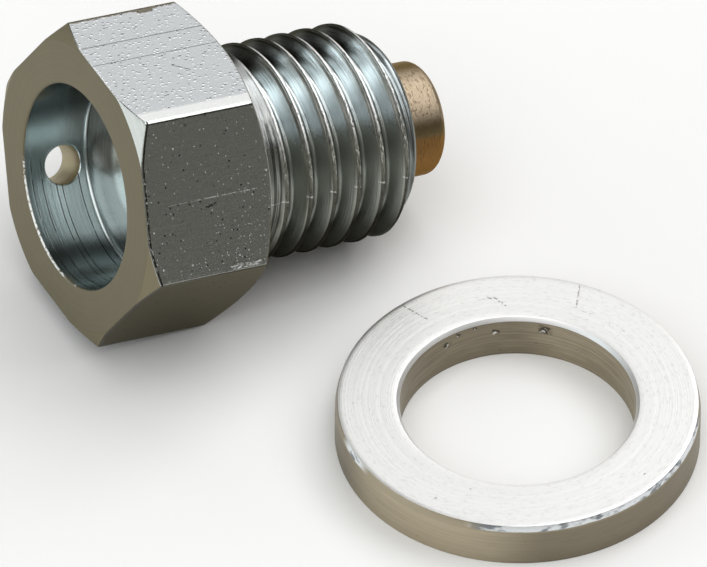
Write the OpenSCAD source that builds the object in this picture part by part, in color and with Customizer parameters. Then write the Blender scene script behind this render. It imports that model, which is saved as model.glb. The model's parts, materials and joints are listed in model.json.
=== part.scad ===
// Magnetic drain plug, lying beside the sealing washer that was taken off it.
// The plug body is turned from hexagon bar: a chamfered hexagon head with a hollow in its front and a
// wire hole through one flat, then a seat for the washer and a threaded shank. A magnet slug sits in a
// pocket in the shank's end and stands out of it. The head is short and its front is hollow, so the plug
// tips over the rear edge of a flat and comes to rest on that edge and on the end of its thread.

/* [Head] */
// Width of the hexagon across its flats
head_flats = 13; // [11.5:0.1:16]
// Length of the head, from its front face to the seat
head_length = 6.6; // [5:0.1:8]
// Diameter of the front face, inside the chamfer that turns off the corners
front_face_d = 13.4; // [11:0.1:14.6]
// Diameter of the seat that bears on the washer, inside the rear chamfer
seat_d = 12.6; // [10.6:0.1:13.4]
// Slope of both corner chamfers, measured from the end faces
chamfer_angle = 30; // [15:1:45]

/* [Hollow] */
// Diameter of the hollow in the front of the head
hollow_d = 9.45; // [5:0.05:10.5]
// Depth of the hollow
hollow_depth = 3.3; // [2.4:0.1:5]
// Radius left in the corner of the hollow's floor
hollow_corner_r = 0.25; // [0.05:0.05:0.5]
// Width of the broken edge round the hollow's mouth
hollow_edge_break = 0.1; // [0.02:0.02:0.3]

/* [Wire hole] */
// Diameter of the wire hole
wire_hole_d = 1.8; // [1:0.1:2.4]
// Distance of the wire hole's centre from the front face
wire_hole_inset = 2; // [1.4:0.1:3]
// Flat that the wire hole goes through, counted from the flat that lies on the floor
wire_hole_flat = 1; // [1:1:5]

/* [Shank] */
// Diameter over the thread's crests
thread_d = 9.95; // [7.5:0.05:10.5]
// Pitch of the thread
thread_pitch = 1.25; // [0.75:0.05:1.75]
// Least plain length between the seat and the first groove of the thread
neck_length = 1.5; // [0.5:0.1:3]
// Length of the shank, from the seat to its end
shank_length = 8.8; // [7:0.1:14]
// Diameter of the shank's end face, inside the lead-in chamfer
shank_end_d = 8.2; // [6:0.1:9.8]
// Angle of the lead-in chamfer, measured from the axis
lead_in_angle = 45; // [30:1:60]

/* [Magnet] */
// Diameter of the magnet
magnet_d = 5.25; // [3:0.05:5.8]
// How far the magnet stands out of the shank
magnet_stand_out = 2.5; // [1:0.1:5]
// Depth of the magnet's pocket in the shank
magnet_pocket_depth = 5.5; // [3:0.1:9]
// Radius on the edge of the magnet's free end
magnet_edge_r = 0.35; // [0.05:0.05:1]
// Gap for adhesive between the magnet and the wall of its pocket
magnet_clearance = 0.02; // [0.01:0.01:0.1]

/* [Washer] */
// Diameter of the washer
washer_d = 16.4; // [14:0.1:22]
// Clearance of the washer's hole over the thread, on each side
washer_clearance = 0.325; // [0.1:0.025:1]
// Thickness of the washer
washer_thickness = 2.2; // [1:0.1:4]
// Width of the chamfer on the washer's upper outer edge
washer_rim_chamfer_w = 0.1; // [0.05:0.05:0.5]
// Width of the chamfer on the upper edge of the washer's hole
washer_hole_chamfer_w = 0.3; // [0.05:0.05:0.6]
// Height of the washer's two chamfers
washer_chamfer_h = 0.4; // [0.1:0.05:0.8]

/* [Layout] */
// Place of the middle of the seat, left and right
plug_x = -3.9; // [-20:0.1:20]
// Place of the plug's axis, front and back
plug_y = 8.6; // [0:0.1:20]
// Place of the washer's centre, left and right
washer_x = 3.4; // [-20:0.1:20]
// Place of the washer's centre, front and back
washer_y = -7.9; // [-20:0.1:-4]

/* [Hidden] */
$fn = 96;

// Overlap that keeps joined and cut solids from sharing a face
overlap = 1;
flat_count = 6;
flat_r = head_flats / 2;
corner_r = flat_r / cos(180 / flat_count);
front_r = front_face_d / 2;
seat_r = seat_d / 2;

// Radius of the crown turned on an end of the head: midway between the end face's edge and the corners
// it slopes at the chamfer angle
function crown_r(face_r) = (face_r + corner_r) / 2 / sin(chamfer_angle);

// Distance of that crown's centre from the end face
function crown_offset(face_r) = sqrt(pow(crown_r(face_r), 2) - pow(face_r, 2));

// How far behind the end face the crown meets a given radius
function crown_drop(face_r, r) = crown_offset(face_r) - sqrt(pow(crown_r(face_r), 2) - pow(r, 2));

hollow_r = hollow_d / 2;
thread_r = thread_d / 2;
shank_end_r = shank_end_d / 2;

// Metric thread profile: half the angle between the flanks, then the crest's width and the depth to the
// root as shares of the pitch and of the sharp triangle's height
flank_angle = 30;
crest_share = 1 / 8;
depth_share = 17 / 24;
crest_width = thread_pitch * crest_share;
thread_depth = thread_pitch / 2 / tan(flank_angle) * depth_share;
flank_width = thread_depth * tan(flank_angle);
root_r = thread_r - thread_depth;

lead_in_length = (thread_r - shank_end_r) / tan(lead_in_angle);
magnet_r = magnet_d / 2;
magnet_length = magnet_pocket_depth + magnet_stand_out;
pocket_r = magnet_r + magnet_clearance;
washer_r = washer_d / 2;
washer_hole_r = thread_r + washer_clearance;

// The plug rests on the rear edge of a flat and on the last full crest of its thread. Distances along the
// axis are counted from the seat, with the thread's side positive.
flat_rear = -max(0, crown_drop(seat_r, flat_r));
crest_end = shank_length - lead_in_length;
groove_count = floor((crest_end - crest_width - neck_length) / thread_pitch);
rest_tilt = atan2(flat_r - thread_r, crest_end - flat_rear);
seat_height = flat_r * cos(rest_tilt) + flat_rear * sin(rest_tilt);

// Lays a plug that was drawn along Z, with its seat at the origin, down to rest on the floor
module at_rest() {
    translate([plug_x, plug_y, seat_height])
        rotate([0, 90 + rest_tilt, 0])
            children();
}

// Half section of a round bar from its base at the origin, with a rounded edge at its far end
module rounded_bar_section(r, length, edge_r) {
    square([r, length - edge_r]);
    square([r - edge_r, length]);
    translate([r - edge_r, length - edge_r])
        circle(edge_r);
}

// Ball that turns the corners off one end of the hexagon, where it cuts the end face at the given radius
module crown(face_r, face_z, side) {
    translate([0, 0, face_z - side * crown_offset(face_r)])
        sphere(r = crown_r(face_r));
}

// Hexagon bar with the corners of both ends turned off
module hexagon_head() {
    intersection() {
        translate([0, 0, -head_length])
            rotate([0, 0, 180 / flat_count])
                cylinder(r = corner_r, h = head_length, $fn = flat_count);
        crown(front_r, -head_length, -1);
        crown(seat_r, 0, 1);
    }
}

// Section of one groove of the thread, as points from its head side to its tip side
function groove(tip_side) = let (head_side = tip_side - thread_pitch + crest_width) [
    [thread_r, head_side],
    [root_r, head_side + flank_width],
    [root_r, tip_side - flank_width],
    [thread_r, tip_side]
];

// Shank with its lead-in chamfer. The thread's grooves are turned as rings, the last of them one crest
// short of the chamfer.
module shank() {
    rotate_extrude()
        polygon([
            [0, -overlap],
            [thread_r, -overlap],
            for (ring = [groove_count - 1 : -1 : 0])
                each groove(crest_end - crest_width - ring * thread_pitch),
            [thread_r, crest_end],
            [shank_end_r, shank_length],
            [0, shank_length]
        ]);
}

// Hollow in the front of the head, with a radius in its corner and a broken edge at its mouth
module hollow() {
    mouth = -head_length;
    translate([0, 0, mouth + hollow_depth])
        mirror([0, 0, 1])
            rotate_extrude()
                rounded_hollow_section();
}

// Half section of the hollow from its floor at the origin up past its mouth
module rounded_hollow_section() {
    translate([0, hollow_corner_r])
        square([hollow_r, hollow_depth - hollow_corner_r + overlap]);
    square([hollow_r - hollow_corner_r, hollow_corner_r + overlap]);
    translate([hollow_r - hollow_corner_r, hollow_corner_r])
        circle(hollow_corner_r);
    polygon([
        [0, hollow_depth - hollow_edge_break],
        [hollow_r, hollow_depth - hollow_edge_break],
        [hollow_r + hollow_edge_break + overlap, hollow_depth + overlap],
        [0, hollow_depth + overlap]
    ]);
}

// Hole from the hollow out through the middle of one flat
module wire_hole() {
    rotate([0, 0, wire_hole_flat * 360 / flat_count])
        translate([0, 0, wire_hole_inset - head_length])
            rotate([0, 90, 0])
                cylinder(d = wire_hole_d, h = corner_r + overlap);
}

// Pocket for the magnet in the shank's end
module magnet_pocket() {
    translate([0, 0, shank_length - magnet_pocket_depth])
        cylinder(r = pocket_r, h = magnet_pocket_depth + overlap);
}

module plug_body() {
    color("#8f9599")
        at_rest()
            difference() {
                union() {
                    hexagon_head();
                    shank();
                }
                hollow();
                wire_hole();
                magnet_pocket();
            }
}

module magnet() {
    color("#a98459")
        at_rest()
            translate([0, 0, shank_length - magnet_pocket_depth])
                rotate_extrude()
                    rounded_bar_section(magnet_r, magnet_length, magnet_edge_r);
}

module sealing_washer() {
    color("#e6e7e6")
        translate([washer_x, washer_y, 0])
            rotate_extrude()
                polygon([
                    [washer_hole_r, 0],
                    [washer_r, 0],
                    [washer_r, washer_thickness - washer_chamfer_h],
                    [washer_r - washer_rim_chamfer_w, washer_thickness],
                    [washer_hole_r + washer_hole_chamfer_w, washer_thickness],
                    [washer_hole_r, washer_thickness - washer_chamfer_h]
                ]);
}

plug_body();
magnet();
sealing_washer();
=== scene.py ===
"""Magnetic drain plug lying beside the sealing washer taken off it."""

import json
import math

import bmesh
import bpy
import numpy as np
from mathutils import Matrix, Vector


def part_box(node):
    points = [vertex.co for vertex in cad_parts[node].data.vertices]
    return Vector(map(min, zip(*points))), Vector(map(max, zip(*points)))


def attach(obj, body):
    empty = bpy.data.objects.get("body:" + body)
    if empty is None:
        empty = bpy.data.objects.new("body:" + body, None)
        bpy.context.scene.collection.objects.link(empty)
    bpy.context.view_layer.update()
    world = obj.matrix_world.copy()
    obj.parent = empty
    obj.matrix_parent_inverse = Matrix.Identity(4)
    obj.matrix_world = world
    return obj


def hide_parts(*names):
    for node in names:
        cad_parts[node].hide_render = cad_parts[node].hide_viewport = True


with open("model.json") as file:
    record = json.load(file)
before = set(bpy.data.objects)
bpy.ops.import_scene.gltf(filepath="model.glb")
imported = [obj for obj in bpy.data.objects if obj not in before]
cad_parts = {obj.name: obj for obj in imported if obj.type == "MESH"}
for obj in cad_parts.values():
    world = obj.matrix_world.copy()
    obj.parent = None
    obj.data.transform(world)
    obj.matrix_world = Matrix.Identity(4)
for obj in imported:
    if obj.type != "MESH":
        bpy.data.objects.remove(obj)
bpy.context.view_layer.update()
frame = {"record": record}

bl_info = {
    "name": "Magnetic drain plug",
    "version": (1, 0, 0),
    "blender": (4, 5, 0),
    "location": "View3D > Sidebar > Drain plug",
    "description": "Builds a magnetic drain plug, its sealing washer and a small studio",
    "category": "Add Mesh",
}

MM = 0.001
MOUNTS = {mount["name"]: mount for mount in frame["record"]["mounts"]}


def mount_size(mount, key):
    """A size of one of the record's mounts, in metres."""
    return MOUNTS[mount]["dims"][key] * MM


# The plug's own frame: u runs along the axis from the seat to the tip, v across and w up.
AXIS = Vector(MOUNTS["thread"]["axis"])
UP = Vector(MOUNTS["wrench_flat"]["axis"])
ACROSS = UP.cross(AXIS)
SEAT = Vector(MOUNTS["thread"]["pos_m"]) - AXIS * mount_size("thread", "length_mm") / 2
REST_TILT = math.atan2(-AXIS.z, AXIS.x)
WASHER_LOW, WASHER_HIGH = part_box("sealing_washer")
WASHER_PLACE = Vector(MOUNTS["washer_hole"]["pos_m"][:2] + [WASHER_LOW[2]])


def length(name, description, default):
    """A length property, in metres."""
    return bpy.props.FloatProperty(
        name=name, description=description, default=default, min=0.0,
        unit="LENGTH", subtype="DISTANCE", precision=5,
    )


def colour(name, description, default):
    """A colour property, in linear light."""
    return bpy.props.FloatVectorProperty(
        name=name, description=description, default=default, size=3, min=0.0, max=1.0, subtype="COLOR",
    )


def radiance(name, description, default):
    """A lamp's radiance, where 1 looks white in a mirror."""
    return bpy.props.FloatProperty(name=name, description=description, default=default, min=0.0, max=10.0)


class HeadSizes(bpy.types.PropertyGroup):
    """Sizes of the hollow hexagon head."""

    flats: length("Across flats", "Wrench size of the hexagon", 13 * MM)
    length: length("Length", "Front face to seat", 6.6 * MM)
    front_face: length("Front face", "Diameter where the front crown starts", 13.4 * MM)
    seat: length("Seat", "Diameter of the turned seat behind the hexagon", 12.6 * MM)
    front_drop: length("Front crown drop", "How far the front crown falls at a corner", 0.462 * MM)
    seat_drop: length("Seat crown drop", "How far the rear crown falls at a corner", 0.694 * MM)
    corner_round: length("Corner rounding", "Radius along the six long edges", 0.17 * MM)
    edge_round: length("Edge rounding", "Radius round the ends of the flats", 0.07 * MM)
    hollow: length("Hollow", "Radius of the turned hollow", mount_size("head_hollow", "r_mm"))
    hollow_depth: length("Hollow depth", "Depth of the hollow", 3.3 * MM)
    hollow_corner: length("Hollow corner", "Radius between the wall and the floor", 0.25 * MM)
    hollow_break: length("Hollow edge break", "Broken edge at the mouth", 0.1 * MM)
    wire_hole: length("Wire hole", "Radius of the hole for safety wire", mount_size("wire_hole", "r_mm"))
    wire_hole_inset: length("Wire hole inset", "Front face to the hole's middle", 2 * MM)


class ShankSizes(bpy.types.PropertyGroup):
    """Sizes of the threaded shank."""

    crest: length("Crest", "Radius over the crests", mount_size("thread", "r_mm"))
    depth: length("Thread depth", "Crest to root", 0.767 * MM)
    pitch: length("Pitch", "Advance in one turn", 1.25 * MM)
    neck: length("Neck", "Plain length behind the seat", 1.0 * MM)
    runout: length("Runout", "Length over which the thread fades out", 0.8 * MM)
    length: length("Length", "Seat to end face", 8.8 * MM)
    end: length("End", "Radius of the end face", 4.1 * MM)
    start: bpy.props.FloatProperty(
        name="Start", description="Angle at which a crest meets the seat plane",
        default=math.radians(67), unit="ROTATION", subtype="ANGLE",
    )


class MagnetSizes(bpy.types.PropertyGroup):
    """Sizes of the magnet slug."""

    radius: length("Radius", "Radius of the slug", 2.625 * MM)
    stand_out: length("Stand out", "Length beyond the shank", 2.5 * MM)
    edge_round: length("Edge rounding", "Radius of its outer edge", 0.35 * MM)


class WasherSizes(bpy.types.PropertyGroup):
    """Sizes of the sealing washer."""

    radius: length("Radius", "Outer radius", (WASHER_HIGH[0] - WASHER_LOW[0]) / 2)
    hole: length("Hole", "Radius of the hole", mount_size("washer_hole", "r_mm"))
    thickness: length("Thickness", "Face to face", WASHER_HIGH[2] - WASHER_LOW[2])
    rim_chamfer: length("Rim chamfer", "Width of the chamfer round the rim", 0.1 * MM)
    hole_chamfer: length("Hole chamfer", "Width of the chamfer round the hole", 0.16 * MM)
    rim_chamfer_height: length("Rim chamfer height", "Height of the chamfer round the rim", 0.4 * MM)
    hole_chamfer_height: length("Hole chamfer height", "Height of the chamfer round the hole", 0.2 * MM)


class Finishes(bpy.types.PropertyGroup):
    """Colours of the finishes, in linear light."""

    drawn_flats: colour("Drawn flats", "Plated bar stock on the hexagon", (0.55, 0.57, 0.59))
    # Painted shade: the front face's dark brown; its dullness is the finish's own.
    dull_shaded_face: colour("Dull turned face", "Front face and its crown", (0.222, 0.196, 0.13))
    hollow: colour("Hollow", "Turned steel inside the head", (0.78, 0.87, 0.87))
    thread: colour("Thread", "Plated thread", (0.4, 0.44, 0.45))
    # Painted reflection: the brown near the crests stands for a brown surround mirrored there.
    thread_brown_reflection: colour("Thread grime", "Brown tone near the crests", (0.3, 0.26, 0.19))
    magnet: colour("Magnet", "Bronze brown of the slug", (0.45, 0.37, 0.275))
    washer_face: colour("Washer face", "Turned aluminium faces", (0.83, 0.83, 0.825))
    # Painted shade: the rim and bore are dark brown-grey where the aluminium would mirror the pale floor.
    shaded_washer_edge: colour("Washer edge", "Dull rim and bore", (0.3, 0.26, 0.19))


class StudioSizes(bpy.types.PropertyGroup):
    """Light and floor of the studio."""

    floor: colour("Floor", "Colour of the pale floor", (0.97, 0.97, 0.97))
    surround: colour("Surround", "Colour of the dim room", (0.14, 0.137, 0.122))
    window: colour("Window", "Tint of the panel at the left", (0.86, 0.96, 1.0))
    key: radiance("Key", "Radiance of the softbox behind the part", 0.98)
    overhead: radiance("Overhead", "Radiance of the softbox above the camera", 1.32)
    high: radiance("High", "Radiance of the softbox high on the right", 2.0)
    right: radiance("Right", "Radiance of the small softbox at the right", 2.0)
    side: radiance("Side", "Radiance of the panel at the left", 1.65)


class Value:
    """A number socket that Python's operators join to Math nodes."""

    def __init__(self, finish, socket):
        self.finish = finish
        self.socket = socket

    def maths(self, operation, *others):
        """The Math node of that operation, with this socket first."""
        return self.finish.sum(operation, self, *others)

    def __add__(self, other):
        return self.finish.sum("ADD", self, other)

    def __radd__(self, other):
        return self.finish.sum("ADD", other, self)

    def __sub__(self, other):
        return self.finish.sum("SUBTRACT", self, other)

    def __rsub__(self, other):
        return self.finish.sum("SUBTRACT", other, self)

    def __mul__(self, other):
        return self.finish.sum("MULTIPLY", self, other)

    def __rmul__(self, other):
        return self.finish.sum("MULTIPLY", other, self)

    def __pow__(self, other):
        return self.finish.sum("POWER", self, other)


class Finish:
    """A material and the nodes that make it."""

    def __init__(self, name):
        self.material = bpy.data.materials.new(name)
        self.material.use_nodes = True
        self.tree = self.material.node_tree
        self.tree.nodes.clear()

    def node(self, kind, settings=None, inputs=None):
        """Adds a node: its settings first, then the values or links of its sockets."""
        node = self.tree.nodes.new(kind)
        for key, value in (settings or {}).items():
            setattr(node, key, value)
        for key, value in (inputs or {}).items():
            self.feed(node.inputs[key], value)
        return node

    def feed(self, socket, value):
        """Links a socket, or sets its own value."""
        if isinstance(value, Value):
            self.tree.links.new(value.socket, socket)
        elif isinstance(value, bpy.types.NodeSocket):
            self.tree.links.new(value, socket)
        elif isinstance(socket, bpy.types.NodeSocketColor):
            socket.default_value = (*value[:3], 1.0)
        else:
            socket.default_value = value

    def sum(self, operation, *terms):
        """A Math node over numbers and sockets."""
        node = self.node("ShaderNodeMath", {"operation": operation}, dict(enumerate(terms)))
        return Value(self, node.outputs[0])

    def place(self, centre, turn=0.0):
        """Coordinates in millimetres about a centre, turned about Y."""
        seen = self.node("ShaderNodeTexCoord").outputs["Object"]
        inputs = {"Vector": seen, "Location": centre, "Rotation": (0, turn, 0), "Scale": (MM, MM, MM)}
        return self.node("ShaderNodeMapping", {"vector_type": "TEXTURE"}, inputs).outputs[0]

    def split(self, vector):
        """The three parts of a vector."""
        node = self.node("ShaderNodeSeparateXYZ", None, {0: vector})
        return [Value(self, out) for out in node.outputs]

    def joined(self, x, y, z):
        """A vector of three numbers or sockets."""
        return self.node("ShaderNodeCombineXYZ", None, {0: x, 1: y, 2: z}).outputs[0]

    def noise(self, vector, scale, detail=2.0, roughness=0.5):
        """Noise from 0 to 1 over a vector."""
        inputs = {"Vector": vector, "Scale": scale, "Detail": detail, "Roughness": roughness}
        return Value(self, self.node("ShaderNodeTexNoise", None, inputs).outputs[0])

    def stretched(self, x, y, z, detail=3.0, roughness=0.6):
        """Noise from 0 to 1 over three numbers or sockets."""
        return self.noise(self.joined(x, y, z), 1.0, detail, roughness)

    def between(self, value, low, high):
        """0 below low and 1 above high, smooth between them."""
        inputs = {"Value": value, "From Min": low, "From Max": high}
        settings = {"interpolation_type": "SMOOTHSTEP"}
        return Value(self, self.node("ShaderNodeMapRange", settings, inputs).outputs[0])

    def band(self, value, low, high, soft):
        """1 between low and high, with soft borders of that width outside them."""
        return self.between(value, low - soft, low) * (1 - self.between(value, high, high + soft))

    def stroke(self, across, along, start, stop, width):
        """1 on a straight mark between two points of a plane."""
        reach = math.dist(start, stop)
        step = [(b - a) / reach for a, b in zip(start, stop)]
        off = [across - start[0], along - start[1]]
        forward = off[0] * step[0] + off[1] * step[1]
        aside = off[0] * step[1] - off[1] * step[0]
        return self.band(aside, -width / 2, width / 2, width / 2) * self.band(forward, 0.0, reach, width)

    def dots(self, vector, scale, size, some):
        """Round spots of a radius in millimetres, on a share of the cells of a 3-D pattern."""
        cells = self.node("ShaderNodeTexVoronoi", None, {"Vector": vector, "Scale": scale})
        near = Value(self, cells.outputs["Distance"])
        chance = self.split(cells.outputs["Color"])[0]
        border = size * scale
        spots = 1 - self.between(near, border * 0.3, border)
        return spots * self.between(some - chance, 0.0, 0.02)

    def mixed(self, factor, first, second):
        """A colour between two colours."""
        inputs = {0: factor, 6: first, 7: second}
        return self.node("ShaderNodeMix", {"data_type": "RGBA"}, inputs).outputs[2]

    def layered(self, base, *coats):
        """A base colour under coats, each a share and a colour."""
        for cover, tint in coats:
            base = self.mixed(cover, base, tint)
        return base

    def bump(self, height, depth):
        """A normal from a height of 0 to 1 over a depth in millimetres."""
        inputs = {"Height": height, "Distance": depth * MM, "Strength": 1.0}
        return self.node("ShaderNodeBump", None, inputs).outputs[0]

    def metal(self, tint, roughness, normal, edge=(1.0, 1.0, 1.0)):
        """Ends the material in one metal shader, with a tint for what it mirrors at a glancing angle."""
        inputs = {"Base Color": tint, "Roughness": roughness, "Metallic": 1.0, "Normal": normal}
        inputs["Specular Tint"] = edge
        shader = self.node("ShaderNodeBsdfPrincipled", None, inputs)
        self.node("ShaderNodeOutputMaterial", None, {"Surface": shader.outputs[0]})
        return self.material


def plug_finish(name):
    """A new finish, and its place in millimetres on the plug: as a vector, then down, across and along."""
    finish = Finish(name)
    place = finish.place(SEAT, math.pi / 2 + REST_TILT)
    return finish, place, finish.split(place)


def washer_finish(name):
    """A new finish, and its place in millimetres on the washer: as a vector, then its three parts."""
    finish = Finish(name)
    place = finish.place(WASHER_PLACE)
    return finish, place, finish.split(place)


def from_axis(x, y):
    """Distance from the axis."""
    return (x * x + y * y) ** 0.5


def times(tint, factor):
    """A colour made darker or paler."""
    return [part * factor for part in tint]


def drawn_flats_finish(tint):
    """Plated drawn bar: pimples on the upper flat, pits on the others, scratches, painted shade and
    highlights.
    """
    finish, place, (x, y, z) = plug_finish("drawn_flats")
    upper = finish.between(-1.0 * x, 6.44, 6.48)
    # Painted shade: the lower flats are darkened towards the floor.
    low_shade = finish.between(x, -0.1, 0.0)
    grain = finish.noise(place, 9.0, 2.0, 0.6)
    streaks = finish.stretched(x * 6.0, y * 6.0, z * 0.15)
    jagged = finish.stretched(0.0, 0.0, z * 3.0)
    # A smooth strip along the upper flat's edge, without pimples, made near white as a painted highlight.
    rolled_highlight = upper * (1 - finish.between(y + jagged * 0.12, -3.14, -2.94))
    # Painted highlight: a white line along the front edge of the upper flat.
    lip = upper * (1 - finish.between(z + grain * 0.2, -6.47, -6.43)) * (1 - rolled_highlight)
    # Painted shade: a dark sliver along one long edge of the upper flat, and a dark line just below its
    # long edges.
    far_edge_shade = jagged * 0.3 + finish.band(z, -2.7, -2.0, 0.1) * 0.2
    far_edge_shade = upper * finish.between(y + far_edge_shade, 3.7, 3.76)
    edge_shade_line = finish.band(-1.0 * x + jagged * 0.05, 6.425, 6.45, 0.015) * (1 - upper)
    cuts = finish.stroke(y, z, (1.82, -6.6), (1.82, 0.0), 0.025) * 0.8
    cuts = cuts + finish.stroke(y, z, (0.57, -6.6), (0.57, 0.0), 0.022) * 0.7
    cuts = cuts + finish.stroke(y, z, (-0.36, -2.99), (-0.85, -2.33), 0.03)
    cuts = cuts * upper * finish.between(streaks, 0.28, 0.4)
    side = (1 - upper) * (1 - low_shade * 0.8)
    bruise = finish.stroke(x, z, (-2.74, -3.5), (-2.84, -2.95), 0.06)
    bruise = bruise * side * finish.between(grain, 0.44, 0.5)
    scrape = finish.stroke(x, z, (-3.1, -5.57), (-3.1, -0.64), 0.02)
    scrape = scrape * side * finish.between(grain, 0.46, 0.56)
    scrape = scrape * (0.4 + finish.between(z, -4.5, -2.5) * 0.6)
    rear = finish.between(z, -6.0, -1.2) * finish.between(x, -4.6, -0.8)
    torn = finish.noise(finish.joined(x * 1.4, y, z * 0.3), 18.0, 3.0, 0.7)
    scuff = finish.stroke(x, z, (-0.17, -2.35), (-0.2, -1.0), 0.11) * (1 - upper)
    scuff = scuff * finish.between(torn, 0.47, 0.57)
    lumps = finish.joined(x, y + grain * 0.05, z * 0.75 + grain * 0.05)
    pimples = finish.dots(lumps, 5.0, 0.075, 0.8) * upper * (1 - rolled_highlight)
    dimples = finish.dots(place, 6.5, 0.03, 0.18 + rear * 0.55)
    wide_dimples = finish.dots(finish.joined(x, y + 9.0, z * 0.8), 3.2, 0.05, 0.1 + rear * 0.24)
    dimples = (dimples + wide_dimples * 1.5) * side
    # The pits are real; their black colour, and the black specks on the side flats, are painted shade.
    pits = finish.dots(finish.joined(x + 0.05, y, z + 0.04), 6.5, 0.032, 0.14 + rear * 0.6) * side
    pits = pits + finish.dots(finish.joined(x - 9.0, y, z * 0.7), 3.4, 0.055, 0.4) * (1 - rolled_highlight)
    specks = finish.joined(x + grain * 0.05, y - 9.0, z * 0.9)
    specks = finish.dots(specks, 3.6, 0.055, 0.36 + rear * 0.2) * side
    # Scratches and a bruise, with painted shade in the pits and specks and along the edges.
    dark = pits * (0.75 - upper * 0.25) + cuts * 0.7 + bruise + edge_shade_line + specks * 1.6
    shade = finish.layered(
        tint,
        (finish.noise(place, 0.6, 2.0) * 0.3 + streaks * 0.35, times(tint, 0.82)),
        ((1 - upper) * 0.6, [tint[0], tint[1], tint[2] * 0.86]),
        (rolled_highlight * 0.85, (0.78, 0.79, 0.79)),
        (low_shade * 0.9, (0.082, 0.074, 0.054)),
        (far_edge_shade * 0.9, (0.14, 0.12, 0.085)),
        (dark, (0.025, 0.023, 0.02)),
        # The lip in this coat is a painted highlight.
        ((scuff + lip).maths("MINIMUM", 1.0), (0.93, 0.94, 0.95)),
    )
    raised = grain * 0.12 + streaks * 0.12 + pimples * 0.22 + scrape * 0.12
    normal = finish.bump(raised - dimples * 0.42 - pits * upper * 0.3 - cuts * 0.4, 0.04)
    rough = 0.17 + grain * 0.12 + pits * 0.15 + scuff * 0.4 + lip * 0.4
    return finish.metal(shade, rough, normal, (0.6, 0.57, 0.5))


def crown_finish(tint, dull):
    """Turned crowns, dull like the face, with a painted highlight at the corner that lies uppermost in
    front.
    """
    finish, place, (x, y, z) = plug_finish("turned_crown")
    rings = finish.stretched(from_axis(x, y) * 10.0, z * 10.0, 0.0)
    # Painted highlight: the crown at the upper front corner, and the upper part of the rear crown.
    bright = finish.between(-1.0 * x - y * 0.6, 5.4, 6.8)
    rear = finish.between(z, -2.0, -1.0)
    bright = bright.maths("MAXIMUM", rear * finish.between(-1.0 * x, 1.4, 2.6))
    shade = finish.layered(
        times(dull, 1.2),
        # Painted shade: the rest of the rear crown is darkened.
        (rear * 0.7, times(dull, 0.5)),
        (bright, [tint[0] * 0.92, tint[1] * 0.87, tint[2] * 0.8]),
        (rings * 0.3, times(dull, 0.7)),
    )
    normal = finish.bump(rings * 0.5 + finish.noise(place, 6.0, 2.0) * 0.5, 0.012)
    return finish.metal(shade, 0.5 - bright * 0.26, normal, (0.8, 0.78, 0.72))


def dull_shaded_face_finish(tint, name="dull_shaded_turned_face"):
    """Dull turned steel with faint rings."""
    finish, place, (x, y, z) = plug_finish(name)
    rings = finish.stretched(from_axis(x, y) * 14.0, z * 14.0, 0.0)
    clouds = finish.noise(place, 0.7, 3.0, 0.55)
    shade = finish.mixed(clouds * 0.5 + rings * 0.3, tint, times(tint, 0.8))
    normal = finish.bump(rings * 0.6 + finish.noise(place, 9.0, 2.0) * 0.4, 0.006)
    return finish.metal(shade, 0.46 + rings * 0.12, normal)


def hollow_finish(tint, depth):
    """Turned hollow: fine rings, lines of the boring tool low on its wall, painted shade, and a painted
    dark line in the corner.
    """
    finish, place, (x, y, z) = plug_finish("turned_hollow")
    away = from_axis(x, y)
    slow = finish.noise(place, 0.35, 2.0)
    rings = finish.stretched(away * 15.0 + slow, z * 15.0, slow)
    lower = finish.between(x, 1.6, 2.6)
    wavy = z + slow * 0.04
    heights = (2.92, 2.42, 1.74, 1.46, 0.56)
    cuts = sum(finish.band(wavy, depth - high, depth - high + 0.035, 0.02) for high in heights)
    cuts = cuts * lower * finish.between(finish.noise(place, 1.4, 2.0), 0.3, 0.45)
    # Painted shade: a dark line in the corner between the wall and the floor.
    cuts = cuts + finish.band(away, 4.6, 4.63, 0.02) * finish.between(z, depth - 0.3, depth - 0.25) * 0.8
    lines = finish.between(rings, 0.5, 0.7) * (0.25 + lower * 0.3)
    floor = finish.between(z, depth - 0.14, depth - 0.05)
    outer = finish.between(away, 2.1, 2.7)
    shaded_floor = floor * finish.between(-1.0 * x, -2.2, -1.0) * outer
    # Painted shade: the upper and lower wall and the floor are dimmed.
    dim = finish.between(-1.0 * x, -0.7, 0.9) * (1 - finish.between(-1.0 * x, 3.0, 3.8) * 0.5)
    dim = dim.maths("MAXIMUM", finish.between(x, 4.4, 4.7) * 0.9)
    dim = dim.maths("MAXIMUM", floor * (0.5 + outer * 0.5))
    shade = finish.layered(
        tint,
        (dim * 0.85, times(tint, 0.25)),
        (shaded_floor * 0.75, (0.07, 0.062, 0.045)),
        (lines, times(tint, 0.4)),
        (cuts.maths("MINIMUM", 1.0) * 0.9, (0.02, 0.022, 0.022)),
    )
    normal = finish.bump(rings * 0.5 - cuts * 0.5, 0.014)
    return finish.metal(shade, 0.17 + rings * 0.1 + shaded_floor * 0.2, normal)


def burr_finish():
    """Bright ragged burr on the lip of the hollow, heaviest low on the left."""
    finish, place, (x, y, z) = plug_finish("bright_burr")
    ragged = finish.noise(place, 6.0, 3.0, 0.65) + finish.between(x * 0.9 + y * 0.42, 3.4, 4.6) * 0.16
    # Between the bright spots the lip keeps the face's dark brown of painted shade.
    shade = finish.mixed(finish.between(ragged, 0.54, 0.62), (0.25, 0.222, 0.16), (0.98, 0.98, 0.96))
    return finish.metal(shade, 0.5, finish.bump(ragged, 0.05))


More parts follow.
